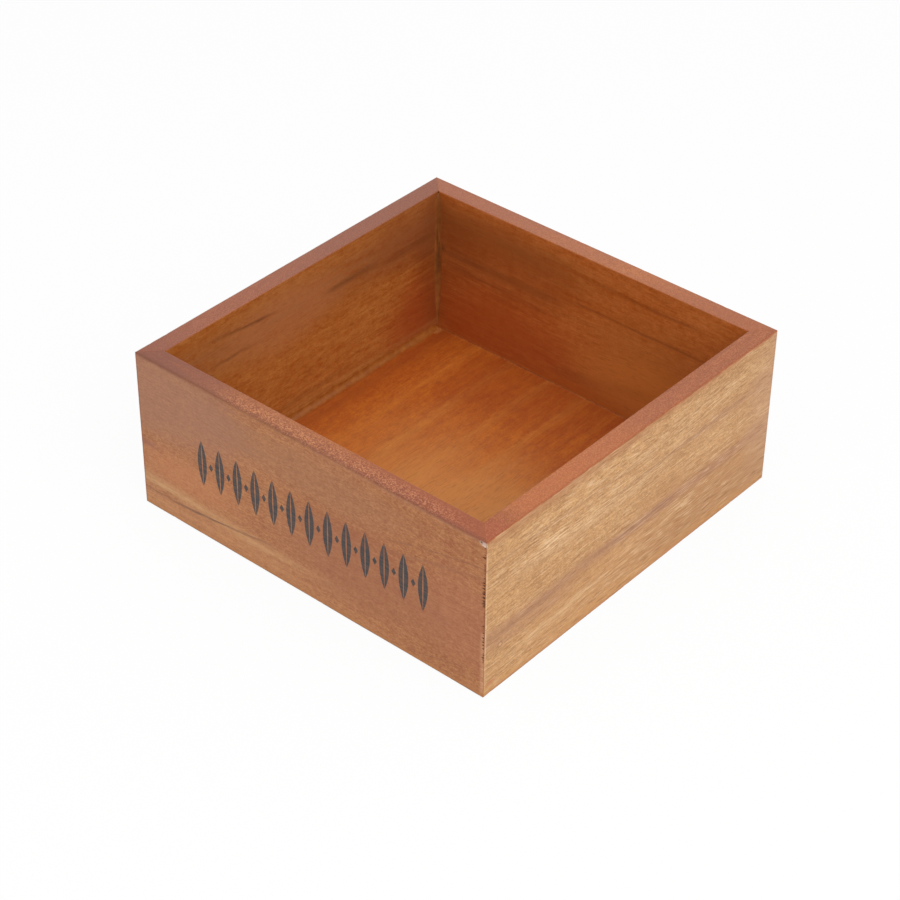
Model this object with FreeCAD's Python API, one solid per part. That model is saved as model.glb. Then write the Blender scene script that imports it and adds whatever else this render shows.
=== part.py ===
"""Square wooden napkin box: four mitred boards pinned round a thin bottom that sits in a rabbet.

Millimetres. +Z is up and the origin is the middle of the underside. The front board faces -Y
and the right board faces +X. One STEP file is written to parts/ for each sub-part.
"""
import FreeCAD, Part
import math
import os

from FreeCAD import Vector

# ---- the box -------------------------------------------------------------------------------
BOX_WIDTH = 190.0            # outside, left to right
BOX_DEPTH = 190.0            # outside, front to back
BOX_HEIGHT = 78.0
WALL_THICKNESS = 9.0         # planed board
GLUE_LINE = 0.1              # film between two glued faces

# ---- sanded edges --------------------------------------------------------------------------
OUTER_ARRIS_RADIUS = 0.6     # long outer edges of the boards
INNER_ARRIS_RADIUS = 0.4     # inner edge of the rim
CORNER_RADIUS = 0.7          # upright outer corners, sanded after the glue-up

# ---- bottom panel --------------------------------------------------------------------------
PANEL_THICKNESS = 3.5
PANEL_RECESS = 0.3           # underside of the panel above the foot of the boards
PANEL_CLEARANCE = 0.25       # round the panel's edge, for the wood to move
PANEL_CHAMFER = 0.4          # lower edge of the panel
RABBET_DEPTH = 4.5           # shelf cut into the thickness of each board

# ---- corner pins: headless square wire, through the side boards into the front and back ----
CORNER_PIN_WIRE = 0.64
CORNER_PIN_LENGTH = 18.0
CORNER_PIN_POINT = 1.2       # length of the chisel point
CORNER_PIN_SET = 0.6         # driven below the face and filled flush
CORNER_PIN_END_INSET = 14.0  # highest pin below the rim, and lowest above the floor
CORNER_PINS_PER_CORNER = 3

# ---- bottom brads: flat wire with a T head, up through the panel into the rabbet's shelf ---
BRAD_WIDTH = 1.25
BRAD_THICKNESS = 1.0
BRAD_LENGTH = 12.0
BRAD_POINT = 2.0             # length of the chisel point
BRAD_HEAD_WIDTH = 2.0
BRAD_HEAD_THICKNESS = 0.5
BRAD_END_INSET = 30.0        # first and last brad from the outer corners
BRADS_PER_SIDE = 3

# ---- sizes that follow from those ----------------------------------------------------------
FLOOR_LEVEL = PANEL_RECESS + PANEL_THICKNESS
RABBET_HEIGHT = FLOOR_LEVEL + GLUE_LINE
FOOT_THICKNESS = WALL_THICKNESS - RABBET_DEPTH
SHELF_MIDDLE = WALL_THICKNESS - RABBET_DEPTH / 2.0
MITRE_SETBACK = GLUE_LINE / math.sqrt(2.0)

# Each side: name, quarter turns from the front, length of its board, outer face from the middle.
SIDES = (
    ("front", 0, BOX_WIDTH, BOX_DEPTH / 2.0),
    ("right", 1, BOX_DEPTH, BOX_WIDTH / 2.0),
    ("back", 2, BOX_WIDTH, BOX_DEPTH / 2.0),
    ("left", 3, BOX_DEPTH, BOX_WIDTH / 2.0),
)


def spaced(first, last, count):
    """Count places from first to last, evenly spaced."""
    if count == 1:
        return [(first + last) / 2.0]
    step = (last - first) / (count - 1)
    return [first + step * i for i in range(count)]


def on_side(shape, quarter_turns, reach):
    """Move a shape from a board's own frame to its side of the box.

    In a board's own frame X runs along it from its middle, Y goes inwards from its outer face
    and Z goes up from its foot.
    """
    placed = shape.copy()
    placed.translate(Vector(0, -reach, 0))
    placed.rotate(Vector(0, 0, 0), Vector(0, 0, 1), 90.0 * quarter_turns)
    return placed


def rounded_corner(centre_y, centre_z, radius, start_degrees):
    """Quarter arc in the YZ plane, anticlockwise from start_degrees as seen from +X."""
    def at(degrees):
        angle = math.radians(degrees)
        return Vector(0, centre_y + radius * math.cos(angle), centre_z + radius * math.sin(angle))

    return Part.Arc(at(start_degrees), at(start_degrees + 45.0), at(start_degrees + 90.0)).toShape()


def board_section():
    """Section across a board: eased arrises, and the rabbet at the inner foot."""
    outer = OUTER_ARRIS_RADIUS
    inner = INNER_ARRIS_RADIUS
    foot_arc = rounded_corner(outer, outer, outer, 180.0)
    rim_inner_arc = rounded_corner(WALL_THICKNESS - inner, BOX_HEIGHT - inner, inner, 0.0)
    rim_outer_arc = rounded_corner(outer, BOX_HEIGHT - outer, outer, 90.0)
    rabbet_path = (
        Vector(0, outer, 0),
        Vector(0, FOOT_THICKNESS, 0),
        Vector(0, FOOT_THICKNESS, RABBET_HEIGHT),
        Vector(0, WALL_THICKNESS, RABBET_HEIGHT),
        Vector(0, WALL_THICKNESS, BOX_HEIGHT - inner),
    )
    edges = [foot_arc]
    for start, end in zip(rabbet_path, rabbet_path[1:]):
        edges.append(Part.makeLine(start, end))
    edges.append(rim_inner_arc)
    rim_start = Vector(0, WALL_THICKNESS - inner, BOX_HEIGHT)
    edges.append(Part.makeLine(rim_start, Vector(0, outer, BOX_HEIGHT)))
    edges.append(rim_outer_arc)
    edges.append(Part.makeLine(Vector(0, 0, BOX_HEIGHT - outer), Vector(0, 0, outer)))
    return Part.Face(Part.Wire(edges))


def mitre_envelope(length):
    """Plan of a board with 45 degree ends, extruded past its height."""
    half_outer = length / 2.0 - MITRE_SETBACK
    half_inner = half_outer - WALL_THICKNESS
    plan = Part.makePolygon([
        Vector(-half_outer, 0, 0),
        Vector(half_outer, 0, 0),
        Vector(half_inner, WALL_THICKNESS, 0),
        Vector(-half_inner, WALL_THICKNESS, 0),
        Vector(-half_outer, 0, 0),
    ])
    return Part.Face(plan).extrude(Vector(0, 0, BOX_HEIGHT))


def sanded_block():
    """Outer block of the glued box with its four upright corners rounded."""
    block = Part.makeBox(
        BOX_WIDTH, BOX_DEPTH, BOX_HEIGHT, Vector(-BOX_WIDTH / 2.0, -BOX_DEPTH / 2.0, 0))
    upright = [
        edge for edge in block.Edges
        if abs(edge.Vertexes[0].Z - edge.Vertexes[1].Z) > BOX_HEIGHT / 2.0
    ]
    return block.makeFillet(CORNER_RADIUS, upright)


def driven_wire(half_outline, thickness):
    """Fastener of flat wire, point up, with the top of its head at the origin.

    The half outline runs from the head to the point as (half width, height) pairs. The outline
    is mirrored, and it lies in the XZ plane with the wire's thickness along Y.
    """
    right = [Vector(half_width, -thickness / 2.0, height) for half_width, height in half_outline]
    left = [Vector(-corner.x, corner.y, corner.z) for corner in reversed(right[:-1])]
    outline = Part.makePolygon(right + left + right[:1])
    return Part.Face(outline).extrude(Vector(0, thickness, 0))


def corner_pin(side_sign, end_sign, height):
    """Headless pin driven along X through a side board into the end of a front or back board."""
    half_wire = CORNER_PIN_WIRE / 2.0
    pin = driven_wire(
        [
            (half_wire, 0),
            (half_wire, CORNER_PIN_LENGTH - CORNER_PIN_POINT),
            (0, CORNER_PIN_LENGTH),
        ],
        CORNER_PIN_WIRE)
    pin.rotate(Vector(0, 0, 0), Vector(0, 1, 0), -90.0 * side_sign)
    outer_end = BOX_WIDTH / 2.0 - CORNER_PIN_SET
    middle_of_end_board = BOX_DEPTH / 2.0 - WALL_THICKNESS / 2.0
    pin.translate(Vector(side_sign * outer_end, end_sign * middle_of_end_board, height))
    return pin


def corner_pins():
    """The pins of each corner, by the corner's name."""
    heights = spaced(
        FLOOR_LEVEL + CORNER_PIN_END_INSET,
        BOX_HEIGHT - CORNER_PIN_END_INSET,
        CORNER_PINS_PER_CORNER)
    pins = {}
    for end_name, end_sign in (("front", -1), ("back", 1)):
        for side_name, side_sign in (("left", -1), ("right", 1)):
            pins[end_name + "_" + side_name] = [
                corner_pin(side_sign, end_sign, height) for height in heights]
    return pins


def bottom_brad(along):
    """T-headed brad in a board's own frame, up through the panel into the shelf."""
    half_shank = BRAD_WIDTH / 2.0
    half_head = BRAD_HEAD_WIDTH / 2.0
    brad = driven_wire(
        [
            (half_head, 0),
            (half_head, BRAD_HEAD_THICKNESS),
            (half_shank, BRAD_HEAD_THICKNESS),
            (half_shank, BRAD_LENGTH - BRAD_POINT),
            (0, BRAD_LENGTH),
        ],
        BRAD_THICKNESS)
    brad.translate(Vector(along, SHELF_MIDDLE, PANEL_RECESS))
    return brad


def bottom_brads():
    """The brads along each side, by the side's name."""
    brads = {}
    for name, quarter_turns, length, reach in SIDES:
        last = length / 2.0 - BRAD_END_INSET
        brads[name] = [
            on_side(bottom_brad(along), quarter_turns, reach)
            for along in spaced(-last, last, BRADS_PER_SIDE)]
    return brads


def wall(quarter_turns, length, reach, block, fasteners):
    """One board: moulded, mitred, sanded with the box, and pierced by what is driven into it."""
    bar = board_section().extrude(Vector(length, 0, 0))
    bar.translate(Vector(-length / 2.0, 0, 0))
    mitred = bar.common(mitre_envelope(length))
    sanded = on_side(mitred, quarter_turns, reach).common(block)
    return sanded.cut(fasteners)


def bottom_panel(fasteners):
    """Thin panel that fills the rabbets, pierced by its brads."""
    margin = FOOT_THICKNESS + PANEL_CLEARANCE
    width = BOX_WIDTH - 2.0 * margin
    depth = BOX_DEPTH - 2.0 * margin
    panel = Part.makeBox(
        width, depth, PANEL_THICKNESS, Vector(-width / 2.0, -depth / 2.0, PANEL_RECESS))
    lower_edges = [
        edge for edge in panel.Edges
        if all(abs(vertex.Z - PANEL_RECESS) < GLUE_LINE for vertex in edge.Vertexes)
    ]
    return panel.makeChamfer(PANEL_CHAMFER, lower_edges).cut(fasteners)


def build():
    """Every sub-part by its node name."""
    block = sanded_block()
    pins_by_corner = corner_pins()
    brads_by_side = bottom_brads()
    fasteners = [pin for pins in pins_by_corner.values() for pin in pins]
    fasteners += [brad for brads in brads_by_side.values() for brad in brads]

    parts = {"bottom_panel": bottom_panel(fasteners)}
    for name, quarter_turns, length, reach in SIDES:
        parts[name + "_wall"] = wall(quarter_turns, length, reach, block, fasteners)
    for corner, pins in pins_by_corner.items():
        parts["corner_pins_" + corner] = Part.makeCompound(pins)
    for side, brads in brads_by_side.items():
        parts["bottom_brads_" + side] = Part.makeCompound(brads)
    return parts


os.makedirs("parts", exist_ok=True)
for node, shape in build().items():
    solids = shape.Solids
    tidy = solids[0] if len(solids) == 1 else Part.makeCompound(solids)
    tidy.exportStep("parts/" + node + ".step")
    print(node, len(solids), "solids", round(tidy.Volume, 2), "mm3", tidy.isValid())
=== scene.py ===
import math
from types import SimpleNamespace

import bmesh
import bpy
from mathutils import Matrix, Vector, noise


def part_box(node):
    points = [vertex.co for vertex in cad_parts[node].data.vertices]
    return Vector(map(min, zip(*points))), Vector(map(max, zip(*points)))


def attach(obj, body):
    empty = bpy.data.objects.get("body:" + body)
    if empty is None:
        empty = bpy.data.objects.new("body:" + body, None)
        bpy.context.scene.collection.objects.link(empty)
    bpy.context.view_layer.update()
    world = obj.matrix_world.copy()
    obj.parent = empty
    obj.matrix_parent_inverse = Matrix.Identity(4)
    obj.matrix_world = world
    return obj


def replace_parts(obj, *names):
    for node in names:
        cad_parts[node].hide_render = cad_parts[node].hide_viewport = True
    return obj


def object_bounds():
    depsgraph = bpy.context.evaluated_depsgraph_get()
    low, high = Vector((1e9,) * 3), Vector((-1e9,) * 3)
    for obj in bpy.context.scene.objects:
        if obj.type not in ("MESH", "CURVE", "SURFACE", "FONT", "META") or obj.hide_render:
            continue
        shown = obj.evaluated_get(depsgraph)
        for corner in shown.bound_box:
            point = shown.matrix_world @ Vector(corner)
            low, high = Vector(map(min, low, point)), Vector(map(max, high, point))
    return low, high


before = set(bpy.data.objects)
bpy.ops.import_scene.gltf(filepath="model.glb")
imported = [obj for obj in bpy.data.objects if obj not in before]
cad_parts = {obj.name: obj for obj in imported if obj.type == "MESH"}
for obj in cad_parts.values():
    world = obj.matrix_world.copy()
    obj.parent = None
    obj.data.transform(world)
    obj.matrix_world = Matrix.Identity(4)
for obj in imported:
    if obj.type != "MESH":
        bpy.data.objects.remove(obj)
cad_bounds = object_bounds()
scene = bpy.context.scene

# The looks of a wooden napkin box: four mitred boards of stained and lacquered hardwood round a
# thin bottom. Lengths are in millimetres until a mesh or a light is made. Each board is modelled
# in a frame of its own: X runs along it from its middle, Y goes inwards from its outer face and
# Z goes up from its foot. Its material reads the same frame, so grain and shape line up.

MM = 0.001
CREASE = math.radians(32)     # edges of a mesh sharper than this stay sharp

# ---- sizes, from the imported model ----
HALF_SIDE = cad_bounds[1].x / MM
HEIGHT = cad_bounds[1].z / MM
WALL = (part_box("right_wall")[1].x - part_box("right_wall")[0].x) / MM
PANEL_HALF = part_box("bottom_panel")[1].x / MM
PANEL_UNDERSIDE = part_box("bottom_panel")[0].z / MM
FLOOR_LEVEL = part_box("bottom_panel")[1].z / MM
INNER_HALF = HALF_SIDE - WALL

# ---- sizes of details, as in the part's source ----
GLUE_LINE = 0.1
MITRE_SETBACK = GLUE_LINE / math.sqrt(2)
OUTER_ARRIS = 0.6
INNER_ARRIS = 0.4
CORNER_RADIUS = 0.7
PANEL_CLEARANCE = 0.25
PANEL_CHAMFER = 0.4
RABBET_TOP = FLOOR_LEVEL + GLUE_LINE
FOOT = HALF_SIDE - PANEL_HALF - PANEL_CLEARANCE

SIDES = ("front", "right", "back", "left")       # in quarter turns from the front

# ---- the photograph's camera, fitted to the box's corners ----
AZIMUTH = 40.367              # degrees, from the front to the right
ELEVATION = 36.734            # degrees
ROLL = math.radians(0.6645)
BOX_WIDTH = 2 * HALF_SIDE * MM
DISTANCE = 5.6692 * BOX_WIDTH
AIM_ACROSS = -0.0158 * BOX_WIDTH
AIM_UP = 0.0899 * BOX_WIDTH
FOCAL_PIXELS = 2477.56
FRAME_PIXELS = 900
SENSOR = 36.0

# ---- the stage, in metres ----
LAMP_DISTANCE = 1.3
FLOOR_RADIUS, FLOOR_DROP = 4.0, 0.0002


def smooth(edge0, edge1, value):
    """0 below edge0, 1 above edge1, and a smooth step between."""
    t = min(max((value - edge0) / (edge1 - edge0), 0.0), 1.0)
    return t * t * (3 - 2 * t)


def bell(value, width):
    """1 at 0, fading to both sides."""
    return math.exp(-(value / width) ** 2)


def wander(*place):
    """Smooth noise between about -1 and 1 at a place."""
    return noise.noise(Vector(place))


def quarter_turns(turns):
    """Rotation of a mesh about the upright axis through the box's middle."""
    return Matrix.Rotation(math.radians(90 * turns), 4, "Z")


def skin(mesh, rings):
    """Joins closed rings of vertices into a tube."""
    count = len(rings[0])
    for ring, following in zip(rings, rings[1:]):
        for i in range(count):
            j = (i + 1) % count
            mesh.faces.new((ring[i], ring[j], following[j], following[i]))


def made_object(name, mesh, material):
    """An object from a finished mesh in metres."""
    data = bpy.data.meshes.new(name)
    mesh.to_mesh(data)
    mesh.free()
    data.materials.append(material)
    made = bpy.data.objects.new(name, data)
    scene.collection.objects.link(made)
    return made


def piece(name, mesh, material):
    """Turns a mesh in millimetres into a piece that rides on the box."""
    bmesh.ops.recalc_face_normals(mesh, faces=mesh.faces)
    mesh.transform(Matrix.Scale(MM, 4))
    for face in mesh.faces:
        face.smooth = True
    for edge in mesh.edges:
        if len(edge.link_faces) == 2:
            edge.smooth = edge.calc_face_angle() < CREASE
    made = made_object(name, mesh, material)
    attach(made, "root")
    return made


# ---- boards ----

def graded(length, pitch, ends):
    """Places along a run: at the given distances from both ends, and evenly spaced between."""
    inner = length - 2 * ends[-1]
    count = max(1, round(inner / pitch))
    middle = [ends[-1] + inner * i / count for i in range(count + 1)]
    return list(ends[:-1]) + middle + [length - d for d in reversed(ends[:-1])]


def arc(centre, radius, start_degrees, steps=4):
    """A quarter turn of the section, clockwise, as (point, outward normal)."""
    rows = []
    for i in range(steps + 1):
        angle = math.radians(start_degrees - 90.0 * i / steps)
        normal = Vector((math.cos(angle), math.sin(angle)))
        rows.append((Vector(centre) + radius * normal, normal))
    return rows


RUN_ENDS = (0.35, 0.8, 1.5)   # rows near both ends of a straight run of the section
LEAST_STEP = 0.09             # between two rows


def run(start, end, normal, pitch, extra=()):
    """The rows inside a straight run of the section, some at extra distances from its start."""
    start, end = Vector(start), Vector(end)
    length = (end - start).length
    way = (end - start) / length
    places = []
    for d in sorted([*graded(length, pitch, RUN_ENDS), *extra]):
        if not places or d - places[-1] > LEAST_STEP:
            places.append(d)
    return [(start + way * d, Vector(normal)) for d in places]


FACE_PITCH, RIM_PITCH, INNER_PITCH = 2.0, 1.1, 3.0     # of the rows round a board's section


def board_section(heights):
    """Rows round a board's section as (point, outward normal) in its YZ plane, clockwise.

    The outer face gets extra rows at the given heights. At a sharp corner the normal is the
    sum of the two, so an inset keeps to the mitred corner.
    """
    outer, inner = OUTER_ARRIS, INNER_ARRIS
    rows = arc((outer, outer), outer, 270)
    extra = [height - outer for height in heights]
    rows += run((0, outer), (0, HEIGHT - outer), (-1, 0), FACE_PITCH, extra)
    rows += arc((outer, HEIGHT - outer), outer, 180)
    rows += run((outer, HEIGHT), (WALL - inner, HEIGHT), (0, 1), RIM_PITCH)
    rows += arc((WALL - inner, HEIGHT - inner), inner, 90)
    path = ((WALL, HEIGHT - inner), (WALL, RABBET_TOP), (FOOT, RABBET_TOP), (FOOT, 0), (outer, 0))
    for start, end, normal in zip(path, path[1:], ((1, 0), (0, -1), (1, 0), (0, -1))):
        rows += run(start, end, normal, INNER_PITCH)
        rows.append((Vector(end), Vector((1, -1))))
    return rows[:-1]


def corner_round(x):
    """How far the sanded upright corner takes the outer face in, at x along the board."""
    past = abs(x) - (HALF_SIDE - CORNER_RADIUS)
    if past <= 0:
        return 0.0
    return CORNER_RADIUS - math.sqrt(max(CORNER_RADIUS ** 2 - past ** 2, 0.0))


MITRE_ARRIS = CORNER_RADIUS * (1 - math.sqrt(0.5)) - MITRE_SETBACK / 2


def mitre_reach(depth):
    """Half the board's length at a depth from its outer face."""
    return HALF_SIDE - MITRE_SETBACK - max(depth, MITRE_ARRIS)


def arris_wear(x, point, seed):
    """How far handling and sanding have softened the long arrises at a place on the section."""
    corners = (
        (Vector((0, HEIGHT)), 0.07, 0.60),
        (Vector((WALL, HEIGHT)), 0.05, 0.40),
        (Vector((0, 0)), 0.08, 0.65),
    )
    total = 0.0
    for i, (corner, depth, width) in enumerate(corners):
        near = bell((point - corner).length - 0.2, width)
        if near < 0.01:
            continue
        even = 0.45 + 0.55 * wander(x * 0.05, seed, i)
        nick = smooth(0.40, 0.62, wander(x * 0.55, seed + 7, i)) * 1.1
        total += depth * near * (max(even, 0.0) + nick)
    return total


def face_ripple(x, point, seed):
    """Shallow hollows that the planer and the sanding belt leave on a face."""
    wave = wander(x * 0.022, point.y * 0.05, seed + point.x * 0.2)
    return 0.035 * (1 + wave)


END_STATIONS = (0.0, 0.12, 0.25, 0.4, 0.6, 0.85, 1.2, 1.7, 2.5)   # from either end
STATION_PITCH = 1.5           # along a board, between its end stations
MITRE_INSETS = (0.45, 1.1)    # rings on a mitre's face, inside its own outline
TEAR_DEPTH = 1.1              # how far in from the outer face the arris is torn out


def board_mesh(turns, tear_out, heights=()):
    """One board: a swept section with mitred ends, worn arrises and torn-out ends.

    tear_out(end, height) is how much of the outer arris is missing at an end, +1 or -1.
    """
    seed = 11.3 * (turns + 1)
    rows = board_section(heights)
    full = mitre_reach(0)
    stations = [d / full - 1 for d in graded(2 * full, STATION_PITCH, END_STATIONS)]

    def torn(end, depth, height):
        return tear_out(end, height) * max(0.0, 1 - depth / TEAR_DEPTH)

    def on_surface(station, point, normal):
        """Place of a point on a board's long faces, and how dark bruised grain and painted pit
        shade make it.
        """
        depth, height = point
        end = 1 if station > 0 else -1
        gone = torn(end, depth, height)
        x = station * (mitre_reach(depth) - gone * abs(station) ** 40)
        worn = arris_wear(x, point, seed) + face_ripple(x, point, seed)
        y = max(depth, corner_round(x)) - normal.x * worn
        z = height - normal.y * worn
        near_end = smooth(0.5, 0.0, full * (1 - abs(station)))
        return Vector((x, y, z)), near_end * smooth(0.25, 0.6, gone)

    def on_mitre(end, point, normal, inset):
        """Place of a point on a mitred end, inside its outline, and how dark bruised grain and
        painted pit shade make it.
        """
        place = point - normal * inset
        depth = max(place.x, MITRE_ARRIS)
        gone = torn(end, depth, place.y)
        bruised_and_shaded = 1.0 if normal.x < -0.5 else 0.4
        return Vector((end * (mitre_reach(depth) - gone * 0.7), depth, place.y)), bruised_and_shaded

    rings = [[on_mitre(-1, p, n, i) for p, n in rows] for i in reversed(MITRE_INSETS)]
    rings += [[on_surface(s, p, n) for p, n in rows] for s in stations]
    rings += [[on_mitre(1, p, n, i) for p, n in rows] for i in MITRE_INSETS]

    mesh = bmesh.new()
    # How dark torn end grain is, with painted shade of its pits, kept on each vertex.
    bruise_and_pit_shade = mesh.verts.layers.float.new("bruise_and_pit_shade")
    grid = []
    for ring in rings:
        grid.append([])
        for place, bruised_and_shaded in ring:
            vertex = mesh.verts.new(place)
            vertex[bruise_and_pit_shade] = bruised_and_shaded
            grid[-1].append(vertex)
    skin(mesh, grid)
    caps = [mesh.faces.new(grid[0]), mesh.faces.new(grid[-1])]
    bmesh.ops.triangulate(mesh, faces=caps, ngon_method="EAR_CLIP")
    mesh.transform(quarter_turns(turns) @ Matrix.Translation((0, -HALF_SIDE, 0)))
    return mesh


# Torn-out splinters down the near corner, on the front board: (height, half height, width).
SPLINTERS = (
    (75.1, 0.3, 0.7), (72.0, 0.25, 0.8), (70.4, 0.4, 1.9), (66.7, 0.3, 0.6),
    (64.4, 0.25, 0.5), (60.4, 0.35, 0.8), (58.2, 0.4, 1.4), (57.0, 0.35, 1.1),
    (55.4, 0.45, 1.6), (54.0, 0.35, 1.1), (52.7, 0.45, 1.6), (50.8, 0.4, 1.4),
    (49.4, 0.4, 1.3), (48.0, 0.4, 1.4), (46.6, 0.35, 1.0), (43.4, 0.3, 0.5),
    (41.6, 0.3, 0.5), (36.7, 0.35, 0.9), (33.3, 0.35, 0.8), (30.8, 0.4, 1.1),
    (28.8, 0.4, 1.0), (27.3, 0.35, 0.9), (25.4, 0.35, 0.8), (22.0, 0.3, 0.6),
    (20.8, 0.35, 1.1), (18.6, 0.3, 0.6),
)
SPLINTER_ROWS = [
    height + half * share for height, half, _ in SPLINTERS for share in (-1, -0.5, 0, 0.5, 1)]
NEAR_SEAM_OPENING = 0.02      # how much the near joint gapes between the splinters


def front_tear_out(end, height):
    """What is missing from the front board's outer end arrises."""
    rough = 0.03 * (1 + wander(height * 1.7, end * 5.0, 3.1))
    if end < 0:
        return rough
    splinters = max(w * smooth(half, 0, abs(height - h)) for h, half, w in SPLINTERS)
    opening = NEAR_SEAM_OPENING * smooth(17, 19, height) * smooth(62, 60, height)
    return rough + opening + splinters


def plain_tear_out(seed):
    """Fine breakout along a well closed joint."""
    def missing(end, height):
        return 0.03 * (1 + wander(height * 1.3, end * 5.0, seed))
    return missing


# ---- bottom panel ----

HEAD_HALF_LENGTH, HEAD_HALF_WIDTH = 1.0, 0.5


def brad_heads():
    """Middle of each brad's head and whether it lies along X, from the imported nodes' boxes."""
    heads = []
    for side in SIDES:
        low, high = (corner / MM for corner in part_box("bottom_brads_" + side))
        x, y = (low.x + high.x) / 2, (low.y + high.y) / 2
        width, depth = high.x - low.x, high.y - low.y
        reach = max(width, depth) / 2 - HEAD_HALF_LENGTH
        for offset in (-reach, 0, reach):
            heads.append((x + offset, y, True) if width > depth else (x, y + offset, False))
    return heads


POCKET_MARGIN = 0.3           # crushed wood round a brad's head
POCKET_DEPTH = 0.65
PANEL_CELLS = 60              # even cells of the panel's grid along each axis


def pocket_depth(x, y, heads):
    """Depth of the crushed hollow round a brad's head, in the panel's underside."""
    for cx, cy, along_x in heads:
        half_x, half_y = HEAD_HALF_LENGTH, HEAD_HALF_WIDTH
        if not along_x:
            half_x, half_y = half_y, half_x
        past = max(abs(x - cx) - half_x, abs(y - cy) - half_y)
        if past < POCKET_MARGIN:
            return POCKET_DEPTH * smooth(POCKET_MARGIN, 0.05, past)
    return 0.0


def panel_lines(heads, axis):
    """Grid lines of the panel along one axis: even, with close ones round the brads."""
    even = [-PANEL_HALF + 2 * PANEL_HALF * i / PANEL_CELLS for i in range(PANEL_CELLS + 1)]
    lines = {round(place, 4) for place in even}
    lines |= {round(s * (PANEL_HALF - PANEL_CHAMFER), 4) for s in (-1, 1)}
    for head in heads:
        half = HEAD_HALF_LENGTH if head[2] == (axis == 0) else HEAD_HALF_WIDTH
        for offset in (half + 0.05, half + POCKET_MARGIN):
            lines |= {round(head[axis] + s * offset, 4) for s in (-1, 1)}
    kept = []
    for line in sorted(lines):
        if not kept or line - kept[-1] > 0.02:
            kept.append(line)
    return kept


def panel_mesh():
    """The thin bottom: sanded top, chamfered underside with a pocket round each brad."""
    heads = brad_heads()
    xs, ys = panel_lines(heads, 0), panel_lines(heads, 1)
    mesh = bmesh.new()

    def top(x, y):
        return FLOOR_LEVEL - 0.03 * (1 + wander(x * 0.05, y * 0.02, 61.0))

    def underside(x, y):
        rim = PANEL_CHAMFER - (PANEL_HALF - max(abs(x), abs(y)))
        return PANEL_UNDERSIDE + max(rim, 0.0) + pocket_depth(x, y, heads)

    grids = []
    for height in (top, underside):
        grids.append([[mesh.verts.new((x, y, height(x, y))) for y in ys] for x in xs])
    for sheet in grids:
        for i in range(len(xs) - 1):
            for j in range(len(ys) - 1):
                mesh.faces.new((
                    sheet[i][j], sheet[i + 1][j], sheet[i + 1][j + 1], sheet[i][j + 1]))
    borders = [[[row[end] for row in sheet] for sheet in grids] for end in (0, -1)]
    borders += [[sheet[end] for sheet in grids] for end in (0, -1)]
    for upper, lower in borders:
        for a, b, c, d in zip(upper, upper[1:], lower[1:], lower):
            mesh.faces.new((a, b, c, d))
    return mesh


# ---- glue beads ----

def bead_mesh(length, leg, seed, steps_per_mm=0.8, run_in=2.5):
    """A bead of dried filler in an inner corner: along X from 0, with legs along +Y and +Z."""
    count = max(8, round(length * steps_per_mm))
    mesh = bmesh.new()
    rings = []
    for i in range(count + 1):
        x = length * i / count
        taper = smooth(0, run_in, x) * smooth(0, 2.5, length - x)
        legs = []
        for k in (0, 1):
            swell = 1 + 0.4 * wander(x * 0.08, seed, k) + 0.15 * wander(x * 0.5, seed, k + 5)
            legs.append(leg * max(swell, 0.25) * (0.3 + 0.7 * taper))
        ring = [mesh.verts.new((x, -0.08, -0.08))]
        for step in range(7):
            angle = math.radians(90 * step / 6)
            hollow = 0.16 * math.sin(2 * angle) * (1 + 0.5 * wander(x * 0.3, seed, 20 + step))
            y = legs[0] * (1 - math.sin(angle)) ** 1.1 - hollow * leg * 0.1
            z = legs[1] * (1 - math.cos(angle)) ** 1.1 - hollow * leg * 0.1
            ring.append(mesh.verts.new((x, y - 0.05, z - 0.05)))
        rings.append(ring)
    skin(mesh, rings)
    mesh.faces.new(rings[0])
    mesh.faces.new(rings[-1])
    return mesh


SHEET_HALF_THICKNESS = 0.04   # of the film in a mitre
SHEET_STEPS = 60              # up its outer edge
BEAD_TOP = 1.2                # the upright beads end this far below the rim


def mitre_sheet(mesh, seed):
    """Adds the dried film that fills a mitre, for the corner at back left."""
    inner_end = INNER_HALF - 0.2
    outer_end = HALF_SIDE - CORNER_RADIUS * (1 - math.sqrt(0.5)) - 0.05
    rabbet_end = HALF_SIDE - FOOT + 0.1
    low, shelf, high = 0.15, RABBET_TOP + 0.05, HEIGHT - 0.06
    outline = [(inner_end, shelf), (inner_end, high)]
    for i in range(SHEET_STEPS + 1):
        height = high + (low - high) * i / SHEET_STEPS
        outline.append((outer_end - 0.05 * (1 + wander(height * 0.6, seed, 4.0)), height))
    outline += [(rabbet_end, low), (rabbet_end, shelf)]
    half = SHEET_HALF_THICKNESS / math.sqrt(2)
    sheets = [
        [mesh.verts.new((s - d, s + d, z)) for d, z in outline] for s in (-half, half)]
    for sheet in sheets:
        mesh.faces.new(sheet)
    skin(mesh, sheets)


def upright_bead(turns, leg, seed):
    """Filler in a mitre and its inner corner, after quarter turns from back left."""
    low = FLOOR_LEVEL - 0.1
    mesh = bead_mesh(HEIGHT - BEAD_TOP - low, leg, seed, run_in=18.0)
    stand = Matrix(((0, 1, 0, 0), (0, 0, -1, 0), (1, 0, 0, 0), (0, 0, 0, 1)))
    place = Matrix.Translation((-INNER_HALF, INNER_HALF, low))
    mesh.transform(place @ stand)
    mitre_sheet(mesh, seed)
    mesh.transform(quarter_turns(turns))
    return mesh


def foot_bead(turns, leg, seed):
    """Filler in the joint between a wall and the floor, after quarter turns from the left wall."""
    length = 2 * INNER_HALF - 1.0
    mesh = bead_mesh(length, leg, seed, steps_per_mm=0.6)
    lie = Matrix(((0, 1, 0, 0), (1, 0, 0, 0), (0, 0, 1, 0), (0, 0, 0, 1)))
    place = Matrix.Translation((-INNER_HALF, -length / 2, FLOOR_LEVEL))
    mesh.transform(quarter_turns(turns) @ place @ lie)
    return mesh


# ---- materials ----

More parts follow.
